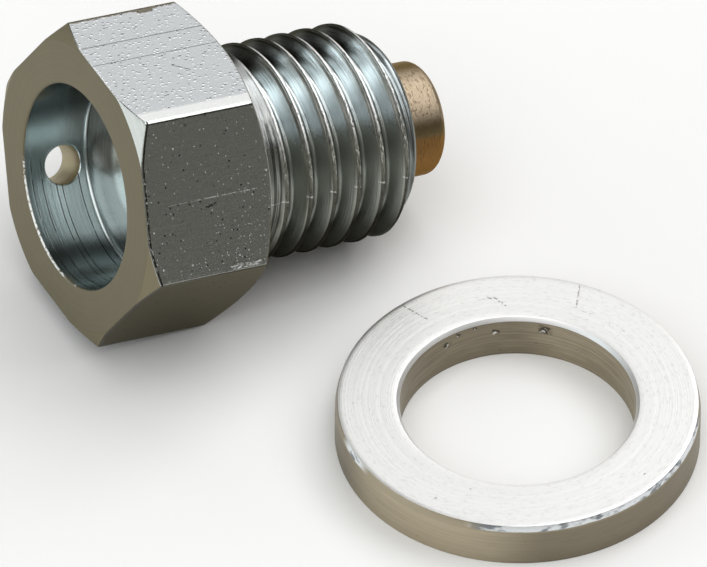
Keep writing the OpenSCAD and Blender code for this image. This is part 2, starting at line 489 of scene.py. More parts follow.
def edge_shade_finish():
    """Painted shade: a dark line that runs behind the front edge of the side flats, with painted glints on
    the flat in front.
    """
    finish, place, (x, y, z) = plug_finish("dark_edge")
    ragged = finish.noise(place, 6.0, 2.0)
    glints = finish.between(finish.noise(finish.joined(x * 1.5, y, z * 2.0), 5.0, 2.0, 0.6), 0.58, 0.62)
    shade = finish.layered(
        (0.03, 0.028, 0.024),
        (finish.between(ragged, 0.3, 0.7), (0.09, 0.085, 0.07)),
        (glints * finish.band(x, -4.6, -0.8, 0.3), (0.92, 0.92, 0.9)),
    )
    return finish.metal(shade, 0.4, finish.bump(ragged, 0.01))


def thread_finish(tint, brown_reflection, sizes):
    """Rolled, plated thread: streaks along the helix, a row of nicks and ragged crests, a painted brown
    reflection on its shoulders and crests, painted highlights above and painted shade below."""
    finish, _, (x, y, z) = plug_finish("plated_thread")
    crest = sizes.crest / MM
    pitch = sizes.pitch / MM
    seam = math.radians(110)
    away = from_axis(x, y)
    forward = y * math.cos(seam) - x * math.sin(seam)
    turn = finish.sum("ARCTAN2", -1.0 * x * math.cos(seam) - y * math.sin(seam), forward)
    along = z - (turn + (seam - sizes.start)) * (pitch / (2 * math.pi))
    across = along.maths("WRAP", pitch / 2, -pitch / 2)
    streaks = finish.stretched(along * 17.0, away * 17.0, turn * 1.5, 3.0, 0.65)
    ragged = finish.stretched(along * 14.0, away * 14.0, turn * 22.0, 2.0)
    behind = 1 - finish.between(along, 0.8, 1.3) * finish.between(z, 1.2, 1.6)
    ridges = finish.stretched(z * 9.0, 0.0, turn * 0.6, 2.0, 0.5) * behind * finish.between(x, -4.7, -3.9)
    shoulder = finish.band(away, crest - 0.15, crest - 0.08, 0.04)
    top = finish.between(away, crest - 0.07, crest - 0.03) * (1 - behind)
    # Painted highlight: white crest lines where the thread faces the light.
    lit = (1 - finish.between(x, -3.6, -2.8)) * (1 - finish.between(y, 1.4, 2.2))
    crest_highlight = top * lit * finish.between(across, -0.03, 0.0) * (1 - finish.between(z, 7.5, 7.8))
    nick = finish.band(turn, math.radians(57.6), math.radians(58.2), 0.008)
    nick = nick * finish.between(away, crest - 0.2, crest - 0.1)
    lower = finish.between(x, -2.6, -0.5)
    # The middle is rougher, and darker in colour as painted shade.
    dulled_and_shaded = finish.between(x, -3.6, -2.7)
    # Painted glints on the crests of the lit side.
    sparks = top * finish.between(ragged, 0.58, 0.64)
    sparks = sparks * (1 - finish.between(x, -2.6, -1.4)) * (1 - finish.between(y, 0.4, 1.4))
    shade = finish.layered(
        tint,
        # Painted highlight: the upper side of the thread is paler.
        (finish.between(y, -2.3, -1.1), times(tint, 1.65)),
        # Painted reflection: brown on the shoulders and, away from the lit side, on the crest tops.
        (shoulder * 0.6, times(brown_reflection, 0.75)),
        (behind * 0.75, (0.27, 0.27, 0.265)),
        (finish.between(streaks, 0.5, 0.72) * 0.5, times(tint, 0.45)),
        (top * (0.85 - lit * 0.55), brown_reflection),
        (dulled_and_shaded * 0.75, (0.35, 0.367, 0.322)),
        # Painted shade: darker over the lower half and the back.
        (lower * top * 0.6 + finish.between(x, -0.4, 2.2) * 0.85, (0.04, 0.038, 0.03)),
        (finish.between(y, 0.1, 1.1) * 0.92, (0.045, 0.043, 0.035)),
        (finish.between(z, 7.85, 8.0) * 0.6, times(tint, 0.65)),
        (top * (1 - finish.between(ragged, 0.36, 0.44)) * 0.7, (0.05, 0.048, 0.04)),
        (sparks, (0.95, 0.95, 0.93)),
        # Painted shade: a dark line beside each lit crest.
        (top * lit * finish.band(across, -0.06, -0.04, 0.02) * 0.7, (0.04, 0.038, 0.03)),
        (crest_highlight * finish.between(ragged, 0.3, 0.42), (0.9, 0.9, 0.89)),
        (nick * finish.between(ragged, 0.36, 0.6), (0.75, 0.75, 0.73)),
        (finish.between(ridges, 0.45, 0.55) * 0.8, (0.06, 0.06, 0.055)),
    )
    normal = finish.bump(streaks * 0.6 + top * ragged * 0.8 + ridges * 1.5 - nick * 0.6, 0.02)
    rough = 0.12 + streaks * 0.12 + top * 0.2 + dulled_and_shaded * 0.14
    return finish.metal(shade, rough, normal, (0.42, 0.42, 0.39))


def magnet_finish(tint):
    """Bronze-brown slug with short marks round it, with painted shade: olive above and orange below."""
    finish, _, (x, y, z) = plug_finish("bronze_magnet")
    streaks = finish.stretched(x * 3.0, y * 3.0, z * 11.0, 3.0, 0.65)
    flecks = finish.between(finish.noise(finish.joined(x * 2.0, y * 2.0, z * 5.0), 2.2, 2.0), 0.56, 0.68)
    shade = finish.layered(
        tint,
        (streaks * 0.7, [tint[0] * 0.7, tint[1] * 0.64, tint[2] * 0.55]),
        # Painted shade: olive above, darker brown then orange towards the bottom.
        (finish.between(y, 0.1, 0.8) * 0.85, (0.22, 0.16, 0.075)),
        (finish.between(x, -1.8, -1.35) * 0.9, (0.15, 0.11, 0.05)),
        (finish.between(x, -1.1, -0.8) * 0.9, (0.24, 0.125, 0.042)),
        (flecks * 0.5, (0.12, 0.075, 0.035)),
    )
    normal = finish.bump(streaks * 0.8 - flecks * 0.3, 0.02)
    return finish.metal(shade, 0.32 + streaks * 0.16, normal, (0.7, 0.6, 0.45))


def washer_face_finish(tint):
    """Turned aluminium: fine rings, and the scratches, dents and dots of use."""
    finish, place, (x, y, z) = washer_finish("turned_aluminium")
    away = from_axis(x, y)
    slow = finish.noise(place, 0.25, 2.0)
    rings = finish.stretched(away * 12.0, slow * 1.2, z)
    marks = finish.stroke(x, y, (-1.68, 7.85), (-1.12, 6.53), 0.05)
    marks = marks + finish.stroke(x, y, (6.08, 5.33), (5.2, 4.09), 0.05)
    for spot in ((1.98, 6.5), (2.2, 6.36), (2.3, 6.05), (2.35, 5.8)):
        marks = marks + finish.stroke(x, y, spot, (spot[0] + 0.1, spot[1] - 0.14), 0.06)
    for spot in ((5.3, 3.74), (5.5, 3.5), (5.9, 2.6), (6.23, 1.86)):
        marks = marks + finish.stroke(x, y, spot, (spot[0] + 0.14, spot[1] - 0.16), 0.04) * 0.5
    for spot in ((-4.62, -4.02), (-6.28, -3.8), (2.71, -6.78)):
        marks = marks + finish.stroke(x, y, spot, (spot[0] + 0.06, spot[1]), 0.05)
    marks = marks * finish.between(finish.noise(place, 9.0, 2.0), 0.4, 0.54)
    dust = finish.dots(place, 1.4, 0.05, 0.5)
    flecks = finish.between(finish.stretched(x * 3.0, y * 3.0, away * 9.0, 3.0, 0.7), 0.5, 0.75)
    shade = finish.layered(
        tint,
        (rings * 0.4 + dust * 0.3 + flecks * 0.55, times(tint, 0.7)),
        (marks * 0.75, (0.25, 0.24, 0.23)),
    )
    normal = finish.bump(rings * 0.7 - marks * 0.6, 0.012)
    return finish.metal(shade, 0.32 + rings * 0.12, normal)


def rim_highlight_share(finish, x, y):
    """Share of the washer's rim that takes a painted highlight."""
    return finish.between(x * -0.866 - y * 0.5, 6.2, 8.3)


# Dents near the bore's upper edge: degrees round the washer, height and size in millimetres.
BORE_DENTS = (
    (98.4, 1.48, 0.1), (91.9, 1.8, 0.06), (83.0, 1.86, 0.05),
    (72.4, 1.4, 0.09), (48.1, 1.6, 0.15), (30.3, 0.9, 0.03),
)


def shaded_washer_edge_finish(tint, hole):
    """Dull turned rim and bore in painted shade, with fine lines, a painted highlight on each, and dents in
    the bore.
    """
    finish, place, (x, y, z) = washer_finish("dull_shaded_aluminium_edge")
    rings = finish.stretched(z * 9.0, finish.noise(place, 0.5, 2.0) * 2.0, 0.0)
    around = finish.sum("ARCTAN2", y, x) * hole
    inside = 1 - finish.between(from_axis(x, y), hole + 0.4, hole + 0.6)
    ragged = finish.noise(place, 7.0, 2.0, 0.6)
    # The dents are real; their pale cores are painted highlights and the dark marks beside them painted
    # shade.
    dent_shade = dents = 0.0
    for turn, high, size in BORE_DENTS:
        spot = math.radians(turn) * hole
        bruise = finish.stroke(around, z, (spot - size, high), (spot + size, high + 0.06), size * 1.9)
        dent_shade = dent_shade + bruise
        dents = dents + finish.stroke(around, z, (spot, high), (spot + size, high - size), size)
    dent_shade = dent_shade * inside * finish.between(ragged, 0.44, 0.5)
    dents = dents * inside * (1 - finish.between(ragged, 0.46, 0.52))
    pits = finish.dots(place, 2.2, 0.07, 0.35)
    lines = finish.between(rings, 0.3, 0.7) * (0.2 + inside * 0.35)
    # Painted highlight: a paler stretch on the bore and on the rim.
    paler = inside * finish.between(x * 0.985 - y * 0.174, 1.6, 3.4) * 0.75
    paler = paler + (1 - inside) * rim_highlight_share(finish, x, y)
    shade = finish.layered(
        # Painted shade: the outer rim is darker than the bore.
        times(tint, 0.84),
        (inside, tint),
        (paler, times(tint, 1.7)),
        (lines + pits * 0.4, times(tint, 0.55)),
        (dent_shade * 0.85, (0.04, 0.037, 0.03)),
        (dents, (0.9, 0.89, 0.86)),
    )
    normal = finish.bump(rings * 0.4 - dents - pits * 0.3, 0.03)
    return finish.metal(shade, 0.4 + rings * 0.14, normal)


def washer_chamfer_finish(edge, hole):
    """Hole chamfer as pale as the face, a painted highlight; rim chamfer in painted shade, patchy on two
    stretches.
    """
    finish, _, (x, y, z) = washer_finish("scuffed_chamfer")
    turn = finish.sum("ARCTAN2", y, -1.0 * x)
    outside = finish.between(from_axis(x, y), hole + 1.0, hole + 1.2)
    patchy_stretches = finish.band(turn, math.radians(-140), math.radians(-52), 0.15)
    patchy_stretches = patchy_stretches + finish.band(turn, 0.0, 0.1, 0.12)
    patches = finish.stretched(turn * 5.0, z * 1.5, 0.0, 3.0, 0.65)
    patchy_tone = finish.mixed(finish.between(patches, 0.48, 0.58) * 0.85, (0.8, 0.82, 0.84), (0.14, 0.16, 0.175))
    # Painted shade in the rim's colour, with a painted highlight on the paler stretch.
    dull = finish.mixed(rim_highlight_share(finish, x, y), edge, times(edge, 1.35))
    rim = finish.mixed(patchy_stretches * finish.between(z + patches * 0.2, 1.98, 2.02), dull, patchy_tone)
    # Painted highlight: the hole chamfer is near white.
    shade = finish.mixed(outside, (0.97, 0.97, 0.97), rim)
    normal = finish.bump(patches * outside, 0.02)
    return finish.metal(shade, 0.5 - outside * 0.1, normal)


def floor_finish(tint):
    """Matt pale floor, white round the part and dimmer far away."""
    finish = Finish("pale_floor")
    x, y, z = finish.split(finish.place((0, 0, 0)))
    near = 1 - finish.between(from_axis(x, y), 60.0, 160.0)
    shade = finish.mixed(near, times(tint, 0.3), tint)
    matt = finish.node("ShaderNodeBsdfDiffuse", None, {"Color": shade})
    finish.node("ShaderNodeOutputMaterial", None, {"Surface": matt.outputs[0]})
    return finish.material


def on_plug(u, v, w):
    """Points of the shared frame, from the plug's own u, v and w in millimetres."""
    ways = ((u, AXIS), (v, ACROSS), (w, UP))
    return np.array(SEAT) + sum(np.multiply.outer(np.asarray(a) * MM, np.array(way)) for a, way in ways)


def round_plug(angle, radius, u):
    """Points at an angle about the plug's axis, from ACROSS towards UP, a radius and a u."""
    return on_plug(u, radius * np.cos(angle), radius * np.sin(angle))


def grid_faces(rows, columns, first=0):
    """Quads over a grid that closes round its columns, indexed [row, column]."""
    row = np.arange(rows - 1)[:, None]
    near = np.arange(columns)[None, :]
    far = (near + 1) % columns
    low, high = row * columns, (row + 1) * columns
    corners = (low + near, low + far, high + far, high + near)
    return np.stack(np.broadcast_arrays(*corners), axis=-1) + first


def even_angles(steps):
    """Angles of even steps round an axis."""
    return np.arange(steps) * 2 * math.pi / steps


def turned(section, angles, first=0):
    """Points and quads of a section, radius and u, turned about the plug's axis."""
    ring = np.array(section)
    points = round_plug(angles[None, :], ring[:, :1], ring[:, 1:]).reshape(-1, 3)
    return points, grid_faces(len(section), len(angles), first).reshape(-1, 4)


# Points closer than the first length are made one, and slivers below the second are closed, in metres.
SAME_POINT = 2e-7
SLIVER = 1e-7


def add_piece(name, points, faces, finishes, node):
    """Adds a smooth piece that stands for a CAD node; faces are (corners, finish index) pairs."""
    mesh = bpy.data.meshes.new(name)
    mesh.from_pydata([tuple(p) for p in points], [], [tuple(map(int, corners)) for corners, _ in faces])
    mesh.polygons.foreach_set("material_index", [index for _, index in faces])
    for finish in finishes:
        mesh.materials.append(finish)
    shape = bmesh.new()
    shape.from_mesh(mesh)
    bmesh.ops.remove_doubles(shape, verts=shape.verts, dist=SAME_POINT)
    bmesh.ops.dissolve_degenerate(shape, edges=shape.edges, dist=SLIVER)
    bmesh.ops.delete(shape, geom=[v for v in shape.verts if not v.link_faces], context="VERTS")
    for face in shape.faces:
        face.smooth = True
    shape.to_mesh(mesh)
    shape.free()
    piece = bpy.data.objects.new(name, mesh)
    bpy.context.scene.collection.objects.link(piece)
    level = piece.modifiers.new("even_normals", "WEIGHTED_NORMAL")
    level.mode = "FACE_AREA"
    level.weight = 70
    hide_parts(node)
    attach(piece, "root")
    return piece


def arc(centre, radius, start, stop, steps):
    """Points on an arc in a section, from one normal angle to another."""
    angles = np.linspace(start, stop, steps + 1)
    return [(centre[0] + radius * math.cos(a), centre[1] + radius * math.sin(a)) for a in angles]


def corner_bend(flat, rounding):
    """Distance from the axis to the centre of a corner's rounding, and half the angle that it takes up."""
    hub = (flat - rounding) / math.cos(math.pi / 6)
    return hub, math.atan2(rounding / 2, hub + rounding * math.cos(math.pi / 6))


def hexagon_reach(angle, flat, rounding):
    """Distance from the axis to a hexagon with rounded corners, which lie at multiples of 60 degrees."""
    off = (angle + math.pi / 6) % (math.pi / 3) - math.pi / 6
    hub, limit = corner_bend(flat, rounding)
    if abs(off) < limit:
        return hub * math.cos(off) + math.sqrt(rounding**2 - (hub * math.sin(off)) ** 2)
    return flat / math.cos(math.pi / 6 - abs(off))


def crossing(first, second):
    """Where two section lines cross, each a normal angle and its distance from the origin."""
    normals = [(math.cos(a), math.sin(a)) for a, _ in (first, second)]
    return np.linalg.solve(np.array(normals), np.array([first[1], second[1]]))


def evenly(start, stop, steps):
    """Points of a straight run in a section, without its first."""
    return [tuple(p) for p in np.linspace(start, stop, steps + 1)[1:]]


# Finish numbers of the head, in the order of its materials.
HOLLOW, FACE, FLAT, CROWN, DARK_EDGE, BURR, DRILLED = range(7)
# Width of the painted dark line, and the degrees round the head between which it and the burr are found.
DARK_EDGE_WIDTH = 0.09
DARK_EDGE_SIDE = (119, 241)
BURR_SIDE = (248, 338)
# The wire hole's angle, and half the angle and half the length on the flat of the faces left open for it.
WIRE_HOLE_ANGLE = math.radians(330)
HOLE_SPAN = math.radians(15)
HOLE_REACH = 1.25
# Steps along one side of that block, and along one flat of the hexagon.
HOLE_STEPS = 16
FLAT_STEPS = 32
# Shares of the way from the wire hole's edge to the block's edge at which loops of points lie.
HOLE_LOOPS = (0.7, 0.4, 0.15, 0.0)
# Width of the wire hole's broken edge at the flat, and its width and depth at the hollow's wall.
OUTER_BREAK = 0.05
INNER_BREAK = 0.04
INNER_BREAK_DEPTH = 0.05
# Radius and height of the pip that the tool leaves in the middle of the hollow's floor.
PIP_RADIUS = 0.25
PIP_HEIGHT = 0.03
# Radius at which the seat's skin ends, inside the shank.
SEAT_INNER = 4.6


class HeadSection:
    """The head's half section at one angle, from the hollow's middle round to the shank."""

    def __init__(self, sizes, reach):
        self.points = []
        self.finish = []
        self.marks = {}
        self.hollow(sizes)
        self.outside(sizes, reach)

    def run(self, points, finish):
        """Adds points whose faces towards the last point take a finish."""
        self.points += [tuple(p) for p in points]
        self.finish += [finish] * len(points)

    def mark(self, name):
        """Remembers the row of the last point."""
        self.marks[name] = len(self.points) - 1

    def hollow(self, sizes):
        """Floor, corner, wall and broken edge of the hollow."""
        front = -sizes.length / MM
        floor = front + sizes.hollow_depth / MM
        wall = sizes.hollow / MM
        corner = sizes.hollow_corner / MM
        edge = sizes.hollow_break / MM
        inset = front + sizes.wire_hole_inset / MM
        self.run([(0.0, floor - PIP_HEIGHT), (PIP_RADIUS, floor)], HOLLOW)
        self.run(evenly((PIP_RADIUS, floor), (wall - corner, floor), 8), HOLLOW)
        self.run(arc((wall - corner, floor - corner), corner, math.pi / 2, 0, 6)[1:], HOLLOW)
        self.mark("wall_deep")
        self.run(evenly((wall, floor - corner), (wall, inset - HOLE_REACH), HOLE_STEPS), HOLLOW)
        self.mark("wall_shallow")
        self.run(evenly((wall, inset - HOLE_REACH), (wall, front + edge), 4), HOLLOW)
        mouth = arc((wall + edge, front + edge), edge, math.pi, math.pi * 1.5, 6)
        self.run(mouth[1:2], HOLLOW)
        self.run(mouth[2:6], BURR)
        self.run(mouth[6:], FACE)

    def outside(self, sizes, reach):
        """Front face, crowns, flat and seat, with small rounded edges."""
        rounding = sizes.edge_round / MM
        flat = sizes.flats / MM / 2
        corner = flat / math.cos(math.pi / 6)
        front = -sizes.length / MM
        front_r = sizes.front_face / MM / 2
        seat_r = sizes.seat / MM / 2
        front_turn = -math.atan2(corner - front_r, sizes.front_drop / MM)
        seat_turn = math.atan2(corner - seat_r, sizes.seat_drop / MM)
        front_away = front_r * math.cos(front_turn) + front * math.sin(front_turn)
        lines = [
            (-math.pi / 2, -front - rounding),
            (front_turn, front_away - rounding),
            (0.0, reach - rounding),
            (seat_turn, seat_r * math.cos(seat_turn) - rounding),
            (math.pi / 2, -rounding),
        ]
        knots = [crossing(a, b) for a, b in zip(lines, lines[1:])]
        if knots[0][0] > knots[1][0]:
            knots[0] = knots[1] = crossing(lines[0], lines[2])
        turns = [turn for turn, _ in lines]
        inset = front + sizes.wire_hole_inset / MM
        bends = [arc(k, rounding, a, b, 3) for k, a, b in zip(knots, turns, turns[1:])]
        self.run(evenly(self.points[-1], bends[0][0], 6), FACE)
        self.run(bends[0][1:], FACE)
        self.run(evenly(bends[0][-1], bends[1][0], 3), CROWN)
        self.run(bends[1][1:], FLAT)
        behind = (reach, bends[1][-1][1] + DARK_EDGE_WIDTH)
        self.run([behind], DARK_EDGE)
        self.run(evenly(behind, (reach, inset - HOLE_REACH), 5), FLAT)
        self.mark("flat_front")
        self.run(evenly((reach, inset - HOLE_REACH), (reach, inset + HOLE_REACH), HOLE_STEPS), FLAT)
        self.mark("flat_rear")
        self.run(evenly((reach, inset + HOLE_REACH), bends[2][0], 20), FLAT)
        self.run(bends[2][1:], CROWN)
        self.run(evenly(bends[2][-1], bends[3][0], 4), CROWN)
        self.run(bends[3][1:], CROWN)
        self.run(evenly(bends[3][-1], (SEAT_INNER, 0.0), 5), CROWN)


def head_angles(sizes):
    """Angles of the head's columns: even steps, and more of them round each corner."""
    limit = corner_bend(sizes.flats / MM / 2, sizes.corner_round / MM)[1]
    even = np.arange(1, FLAT_STEPS) * math.pi / 3 / FLAT_STEPS
    bend = np.linspace(-limit, limit, 11)
    return np.concatenate([k * math.pi / 3 + np.concatenate([bend, even]) for k in range(6)])


def square_angles(steps):
    """Angles of even points round a square, from its lower left corner."""
    side = np.linspace(-1, 1, steps + 1)[:-1]
    ones = np.ones(steps)
    x = np.concatenate([side, ones, -side, -ones])
    y = np.concatenate([-ones, side, ones, -side])
    return np.arctan2(y, x)


def build_head(context):
    """The hexagon head as one skin, with its hollow and the wire hole through one flat."""
    sizes = context.scene.drain_plug_head
    angles = head_angles(sizes)
    flat = sizes.flats / MM / 2
    sections = [HeadSection(sizes, hexagon_reach(a, flat, sizes.corner_round / MM)) for a in angles]
    section = np.array([s.points for s in sections]).transpose(1, 0, 2)
    finish_rows = sections[0].finish
    marks = sections[0].marks
    rows, columns = section.shape[:2]
    points = round_plug(angles[None, :], section[..., 0], section[..., 1]).reshape(-1, 3)
    quads = grid_faces(rows, columns)
    left = int(np.argmin(abs(angles - (WIRE_HOLE_ANGLE - HOLE_SPAN))))
    right = int(np.argmin(abs(angles - (WIRE_HOLE_ANGLE + HOLE_SPAN))))
    blocks = [(marks["flat_front"], marks["flat_rear"]), (marks["wall_shallow"], marks["wall_deep"])]
    open_cells = np.zeros((rows - 1, columns), bool)
    for first, last in blocks:
        open_cells[min(first, last):max(first, last), left:right] = True
    faces = []
    for row in range(rows - 1):
        for column in range(columns):
            if not open_cells[row, column]:
                faces.append((quads[row, column], head_finish_at(finish_rows[row + 1], angles[column])))
    edges, loops = hole_loops(sizes, section, angles, blocks, left, right)
    faces += wire_hole_faces(edges, loops, columns, len(points))
    points = np.concatenate([points] + [loop for loop, _ in loops])
    looks = context.scene.drain_plug_finishes
    finishes = [
        hollow_finish(list(looks.hollow), (sizes.hollow_depth - sizes.length) / MM),
        # The face and crowns take the dark brown of painted shade; the drilled hole a paler copy.
        dull_shaded_face_finish(list(looks.dull_shaded_face)),
        drawn_flats_finish(list(looks.drawn_flats)),
        crown_finish(list(looks.drawn_flats), list(looks.dull_shaded_face)),
        edge_shade_finish(),
        burr_finish(),
        dull_shaded_face_finish(times(looks.dull_shaded_face, 2.2), "drilled_hole"),
    ]
    add_piece("hexagon_head", points, faces, finishes, "plug_body")


def head_finish_at(finish, angle):
    """Finish of a face of the head: the dark line and the burr are only on the sides that have them."""
    turn = math.degrees(angle) % 360
    if finish == DARK_EDGE and not DARK_EDGE_SIDE[0] < turn < DARK_EDGE_SIDE[1]:
        return FLAT
    if finish == BURR and not BURR_SIDE[0] < turn < BURR_SIDE[1]:
        return FACE
    return finish


def hole_loops(sizes, section, angles, blocks, left, right):
    """Edges of the two open blocks, and loops of points through the wire hole from one to the other."""
    radius = sizes.wire_hole / MM
    middle = -sizes.length / MM + sizes.wire_hole_inset / MM
    flat = sizes.flats / MM / 2
    wall = sizes.hollow / MM
    turn = square_angles(HOLE_STEPS)
    circle = np.stack([np.cos(turn), np.sin(turn)], axis=-1)

    def block_edge(first, last):
        step = 1 if last > first else -1
        across = list(range(left, right))
        along = list(range(first, last, step))
        loop = [(first, c) for c in across] + [(r, right) for r in along]
        loop += [(last, c) for c in reversed(range(left + 1, right + 1))]
        loop += [(r, left) for r in reversed(range(first + step, last + step, step))]
        return loop

    def flat_point(spot):
        return on_hole(np.full(len(spot), flat), spot[:, 0], spot[:, 1] + middle)

    def wall_point(spot):
        return on_hole(np.sqrt(wall**2 - spot[:, 0] ** 2), spot[:, 0], spot[:, 1] + middle)

    edges = [block_edge(*block) for block in blocks]
    spots = []
    for loop, spread in zip(edges, (lambda a: flat * np.tan(a), lambda a: wall * np.sin(a))):
        off = np.array([angles[c] - WIRE_HOLE_ANGLE for _, c in loop])
        along = np.array([section[r, c, 1] - middle for r, c in loop])
        spots.append(np.stack([spread(off), along], axis=-1))
    bore = circle * radius
    depths = [np.full(len(turn), flat - (flat - wall) * deep) for deep in (0.04, 0.3, 0.6)]
    depths.append(np.sqrt(wall**2 - bore[:, 0] ** 2) + INNER_BREAK_DEPTH)
    loops = []
    for part in HOLE_LOOPS:
        loops.append((flat_point(spots[0] * part + circle * (radius + OUTER_BREAK) * (1 - part)), FLAT))
    for away in depths:
        loops.append((on_hole(away, bore[:, 0], bore[:, 1] + middle), DRILLED))
    for part in reversed(HOLE_LOOPS):
        loops.append((wall_point(spots[1] * part + circle * (radius + INNER_BREAK) * (1 - part)), HOLLOW))
    return edges, loops


def on_hole(away, across, along):
    """Points given along the wire hole, across it and along the plug."""
    c, s = math.cos(WIRE_HOLE_ANGLE), math.sin(WIRE_HOLE_ANGLE)
    return on_plug(along, away * c - across * s, away * s + across * c)


def wire_hole_faces(edges, loops, columns, first):
    """Quads between the loops of the wire hole and the edges of the open blocks, with finish numbers."""
    outer, inner = (np.array([row * columns + column for row, column in edge]) for edge in edges)
    count = len(outer)
    rows = [outer] + [np.arange(count) + first + k * count for k in range(len(loops))] + [inner]
    finishes = [finish for _, finish in loops] + [HOLLOW]
    faces = []
    for near, far, finish in zip(rows, rows[1:], finishes):
        for k in range(count):
            n = (k + 1) % count
            faces.append(((near[k], near[n], far[n], far[k]), finish))
    return faces


# Finish numbers of the shank, and the columns round the shank, the magnet and the washer.
THREAD, END_FACE = range(2)
SHANK_TURNS = 240
MAGNET_TURNS = 160
WASHER_TURNS = 288


def thread_rows(sizes):
    """One pitch of the thread's section: places from the crest's middle and depths below the crest."""
    half = sizes.pitch / MM / 2
    depth = sizes.depth / MM
    slope = math.sqrt(3)
    head_foot = -0.15 - (depth - 0.17) / slope
    tip_foot = 0.12 + (depth - 0.09) / slope
    return [
        (-half, depth), (head_foot - 0.07, depth - 0.004), (head_foot - 0.03, depth - 0.02),
        (head_foot, depth - 0.06), (head_foot + 0.03, depth - 0.11),
        (-0.17, 0.155), (-0.15, 0.125), (-0.12, 0.09), (-0.09, 0.062), (-0.07, 0.03),
        (-0.06, 0.012), (-0.05, 0.016), (-0.042, 0.034), (-0.034, 0.012), (-0.026, 0.002),
        (-0.02, 0.0), (0.07, 0.0), (0.08, 0.004), (0.09, 0.016), (0.1, 0.032),
        (tip_foot - 0.03, depth - 0.11), (tip_foot, depth - 0.06),
        (tip_foot + 0.03, depth - 0.02), (tip_foot + 0.07, depth - 0.004),
    ]


def shank_radius(sizes, u, below):
    """Radius of the shank at u for a depth below the crest, fading into the neck and cut by the lead-in."""
    faded = np.clip((u - sizes.neck / MM) / (sizes.runout / MM), 0.0, 1.0)
    faded = faded * faded * (3 - 2 * faded)
    thread = sizes.crest / MM - below * faded
    lead_in = sizes.end / MM + (sizes.length / MM - u)
    return np.minimum(thread, lead_in)


def helix_faces(rows, step):
    """Quads over the thread's rows, whose last column meets the first a pitch further on."""
    faces = []
    for row in range(rows - 1):
        for column in range(SHANK_TURNS):
            far = (column + 1) % SHANK_TURNS
            low = row if far else row + step
            if low + 1 < rows:
                near_edge = (row * SHANK_TURNS + column, (row + 1) * SHANK_TURNS + column)
                far_edge = (low * SHANK_TURNS + far, (low + 1) * SHANK_TURNS + far)
                faces.append(((near_edge[0], *far_edge, near_edge[1]), THREAD))
    return faces


def build_shank(context):
    """The threaded shank: helical rows from neck to lead-in, then the end face and the magnet's mouth."""
    sizes = context.scene.drain_plug_shank
    pitch = sizes.pitch / MM
    end = sizes.length / MM
    cut = end - 0.08
    angles = even_angles(SHANK_TURNS)
    one_pitch = thread_rows(sizes)
    pitches = range(-2, int(end / pitch) + 3)
    along = np.array([k * pitch + place for k in pitches for place, _ in one_pitch])
    below = np.array([d for _ in pitches for _, d in one_pitch])
    lean = pitch * ((angles - sizes.start) / (2 * math.pi))
    u = np.clip(along[:, None] + lean[None, :], 0.0, cut)
    radius = shank_radius(sizes, u, below[:, None])
    points = round_plug(angles[None, :], radius, u).reshape(-1, 3)
    faces = helix_faces(len(along), len(one_pitch))
    magnet = context.scene.drain_plug_magnet.radius / MM
    rim = sizes.end / MM
    section = [(rim + 0.08, cut), (rim + 0.04, end - 0.04), (rim, end - 0.008), (rim - 0.05, end)]
    section += evenly((rim - 0.05, end), (magnet + 0.16, end), 4)
    section += [(magnet + 0.12, end - 0.01), (magnet + 0.04, end - 0.12), (magnet + 0.02, end - 0.5)]
    end_points, end_quads = turned(section, angles, len(points))
    points = np.concatenate([points, end_points])
    faces += [(quad, END_FACE) for quad in end_quads]
    looks = context.scene.drain_plug_finishes
    finishes = [
        thread_finish(list(looks.thread), list(looks.thread_brown_reflection), sizes),
        # The end face shares the face's dark brown of painted shade.
        bpy.data.materials["dull_shaded_turned_face"],
    ]
    add_piece("threaded_shank", points, faces, finishes, "plug_body")


def build_magnet(context):
    """The slug in the shank's end, with a rounded outer edge."""
    sizes = context.scene.drain_plug_magnet
    end = context.scene.drain_plug_shank.length / MM
    radius = sizes.radius / MM
    rounding = sizes.edge_round / MM
    tip = end + sizes.stand_out / MM
    section = [(radius - 0.02, end - 0.6)] + evenly((radius, end - 0.5), (radius, tip - rounding), 10)
    section += arc((radius - rounding, tip - rounding), rounding, 0, math.pi / 2, 8)[1:]
    section += evenly((radius - rounding, tip), (0.0, tip), 8)
    points, quads = turned(section, even_angles(MAGNET_TURNS))
    faces = [(quad, 0) for quad in quads]
    looks = context.scene.drain_plug_finishes
    add_piece("magnet_slug", points, faces, [magnet_finish(list(looks.magnet))], "magnet")


# Finish numbers of the washer: both faces, the rim and bore, and the chamfers.
RING_FACE, RING_EDGE, RING_CHAMFER = range(3)


